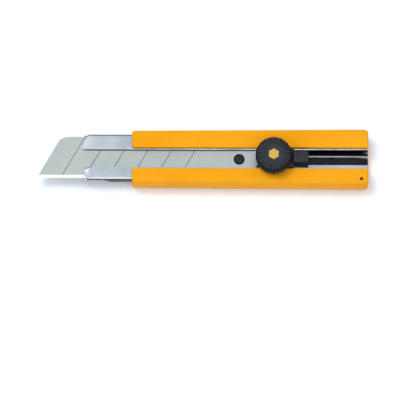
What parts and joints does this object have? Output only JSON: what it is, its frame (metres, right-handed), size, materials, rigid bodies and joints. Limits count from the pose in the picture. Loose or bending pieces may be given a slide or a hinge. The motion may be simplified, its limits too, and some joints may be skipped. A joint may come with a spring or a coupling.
{
  "type": "snap-off knife",
  "caption": "Heavy 25 mm snap-off knife: scored blade on a slider in a stainless channel, set in a yellow rubber-gripped handle and locked by a ribbed ratchet wheel.",
  "frame": {"origin": "middle of the bounding box on the plane the knife lies on, back down", "axes": "+X along the knife from the blade tip to the rear end, +Y towards the blade's spine side, +Z out of the slot towards the lock wheel"},
  "size_m": [0.1962, 0.034, 0.0255],
  "materials": {
    "handle_plastic": "satin moulded ABS, warm yellow",
    "grip_rubber": "matte black elastomer",
    "badge_plastic": "smooth black",
    "channel_steel": "bright rolled stainless sheet",
    "blade_steel": "fine ground carbon steel",
    "slider_plastic": "satin black nylon",
    "plated_steel": "zinc plated",
    "stud_brass": "turned",
    "wheel_plastic": "satin blue-black nylon",
    "nut_brass": "turned brass",
    "spring_steel": "plain spring steel"
  },
  "bodies": {
    "handle": {"handle_body": "handle_plastic", "grip_pad": "grip_rubber", "back_badge": "badge_plastic", "blade_channel": "channel_steel"},
    "carriage": {"slider_body": "slider_plastic", "slider_tongue": "slider_plastic", "slider_screw": "plated_steel", "blade": "blade_steel", "blade_pin": "slider_plastic", "ratchet_disc": "plated_steel"},
    "clamp": {"clamp_plate": "plated_steel", "lock_stud": "stud_brass"},
    "wheel": {"lock_wheel": "wheel_plastic", "hex_nut": "nut_brass", "flat_washer": "plated_steel", "wave_washer": "spring_steel", "click_spring": "spring_steel"}
  },
  "joints": [
    {"name": "blade_slide", "type": "slide", "parent": "handle", "child": "carriage", "axis": [1, 0, 0], "range_m": [-0.074, 0.03]},
    {"name": "wheel_turn", "type": "hinge", "parent": "carriage", "child": "wheel", "pos_m": [0.04205, -0.0008, 0.0215], "axis": [0, 0, 1], "range_deg": [0, 360]},
    {"name": "clamp_lift", "type": "slide", "parent": "carriage", "child": "clamp", "axis": [0, 0, 1], "range_m": [-0.00072, 0]}
  ],
  "couplings": [
    {"joint": "clamp_lift", "follows": "wheel_turn", "m_per_rad": -0.00011141}
  ]
}
